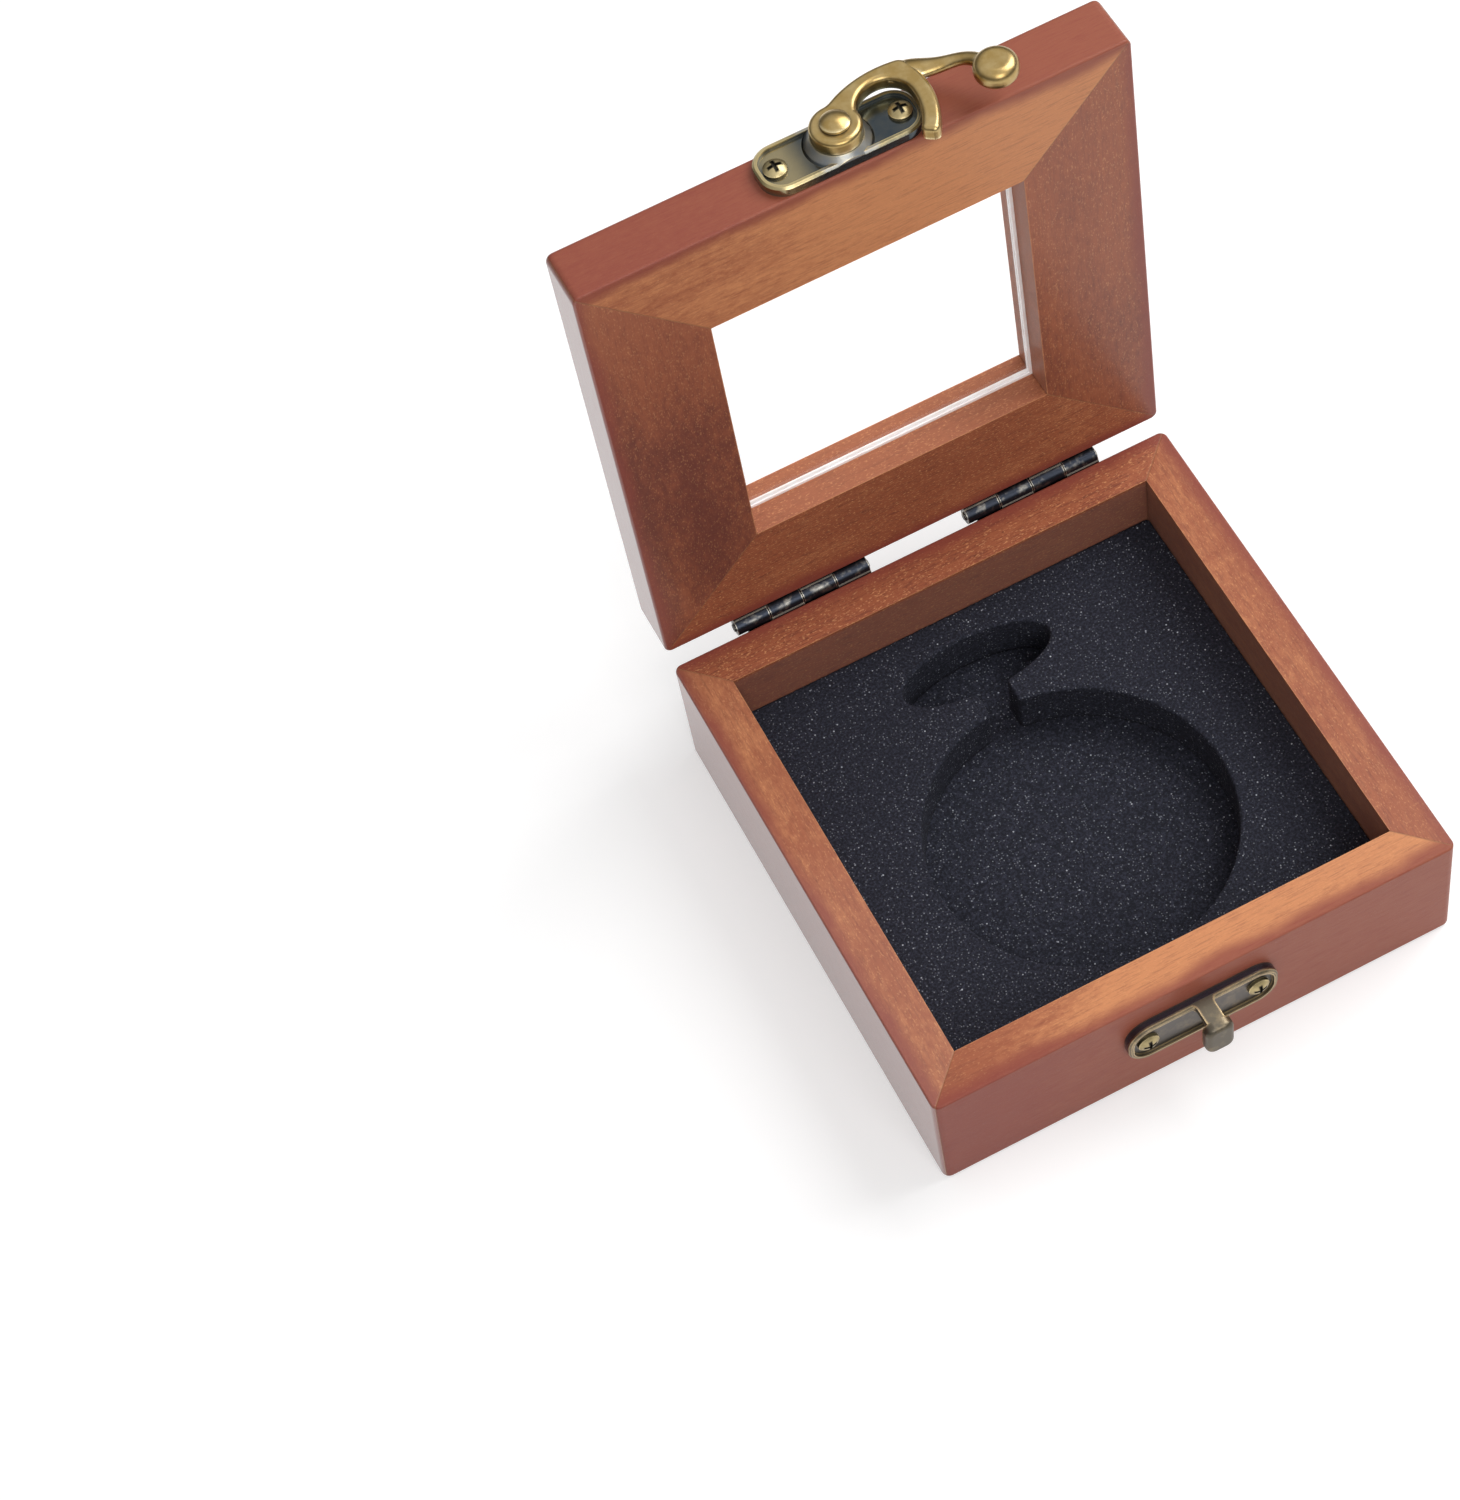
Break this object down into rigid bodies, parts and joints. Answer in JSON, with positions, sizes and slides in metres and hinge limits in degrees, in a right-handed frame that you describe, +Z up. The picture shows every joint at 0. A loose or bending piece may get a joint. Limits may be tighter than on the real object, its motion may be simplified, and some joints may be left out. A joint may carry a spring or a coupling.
{
  "type": "pocket watch display box",
  "caption": "Small square wooden display box with a hinged glazed lid, a swing hook latch and a foam insert cut for a pocket watch.",
  "frame": {"origin": "centre of the base's underside, where the bottom panel rests on the table", "axes": "+X to the right along the front with the latch, +Y to the back where the hinges are, +Z up"},
  "size_m": [0.09, 0.1137, 0.1247],
  "materials": {
    "stained_wood": "satin red-brown stain over fine straight grain",
    "panel": "plain stained panel",
    "foam": "matt black open-cell foam with fine glinting specks",
    "glass": "clear flat glass",
    "gasket": "clear glossy channel",
    "hinge_metal": "blackened bronze with worn bright edges",
    "aged_brass": "antique finish: worn bright edges, dark recesses",
    "fastener_brass": "antique finish, dark cross recesses"
  },
  "bodies": {
    "base": {"base_front_wall": "stained_wood", "base_back_wall": "stained_wood", "base_left_wall": "stained_wood", "base_right_wall": "stained_wood", "bottom_panel": "panel", "foam_base_pad": "foam", "foam_insert": "foam", "hinge_base_leaf_left": "hinge_metal", "hinge_base_leaf_right": "hinge_metal", "hinge_pin_left": "hinge_metal", "hinge_pin_right": "hinge_metal", "hinge_base_screws": "hinge_metal", "catch_plate": "aged_brass", "catch_screws": "fastener_brass"},
    "lid": {"lid_front_rail": "stained_wood", "lid_back_rail": "stained_wood", "lid_left_rail": "stained_wood", "lid_right_rail": "stained_wood", "glass_pane": "glass", "window_gasket": "gasket", "hinge_lid_leaf_left": "hinge_metal", "hinge_lid_leaf_right": "hinge_metal", "hinge_lid_screws": "hinge_metal", "latch_plate": "aged_brass", "latch_screws": "fastener_brass", "latch_rivet": "fastener_brass"},
    "hook": {"latch_hook": "aged_brass"}
  },
  "joints": [
    {"name": "lid_hinge", "type": "hinge", "parent": "base", "child": "lid", "pos_m": [0, 0.04665, 0.0251], "axis": [1, 0, 0], "range_deg": [0, 92]},
    {"name": "hook_swing", "type": "hinge", "parent": "lid", "child": "hook", "pos_m": [0, 0.05495, 0.11652], "axis": [0, -0.0349, -0.9994], "range_deg": [0, 80]}
  ]
}
